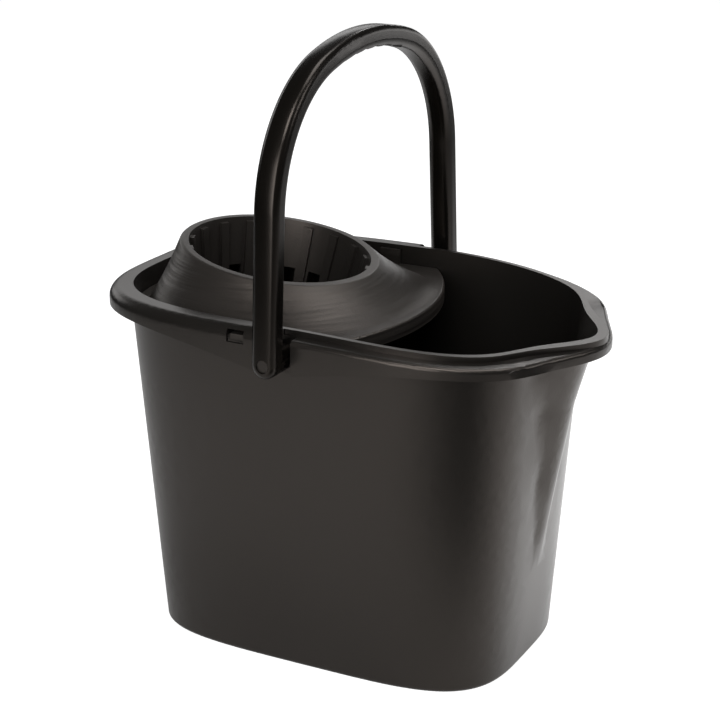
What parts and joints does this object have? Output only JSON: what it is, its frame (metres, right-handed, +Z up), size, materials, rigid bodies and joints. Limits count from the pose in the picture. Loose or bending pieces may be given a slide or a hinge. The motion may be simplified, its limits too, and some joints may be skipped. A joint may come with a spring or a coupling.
{
  "type": "mop bucket with wringer",
  "caption": "Oblong plastic mop bucket with a pouring spout, a snap-in conical wringer basket at the rear and a swinging bail handle with a scalloped grip.",
  "frame": {"origin": "on the ground under the middle of the overall box", "axes": "+X towards the pouring spout, +Y across the bucket along the handle's pivots, +Z up"},
  "size_m": [0.3746, 0.296, 0.4587],
  "materials": {
    "bucket_plastic": "satin charcoal polypropylene",
    "handle_plastic": "smooth black polypropylene",
    "wringer_plastic": "fine-grained charcoal polypropylene"
  },
  "bodies": {
    "bucket": {"bucket": "bucket_plastic"},
    "handle": {"bail_handle": "handle_plastic"},
    "wringer": {"wringer": "wringer_plastic", "snap_tab_near": "wringer_plastic", "snap_tab_far": "wringer_plastic"}
  },
  "joints": [
    {"name": "handle_swing", "type": "hinge", "parent": "bucket", "child": "handle", "pos_m": [-0.0035, 0, 0.2516], "axis": [0, 1, 0], "range_deg": [-118, 120]},
    {"name": "wringer_lift", "type": "slide", "parent": "bucket", "child": "wringer", "axis": [0, 0, 1], "range_m": [0, 0.12], "deforming": ["snap_tab_near", "snap_tab_far"]}
  ]
}
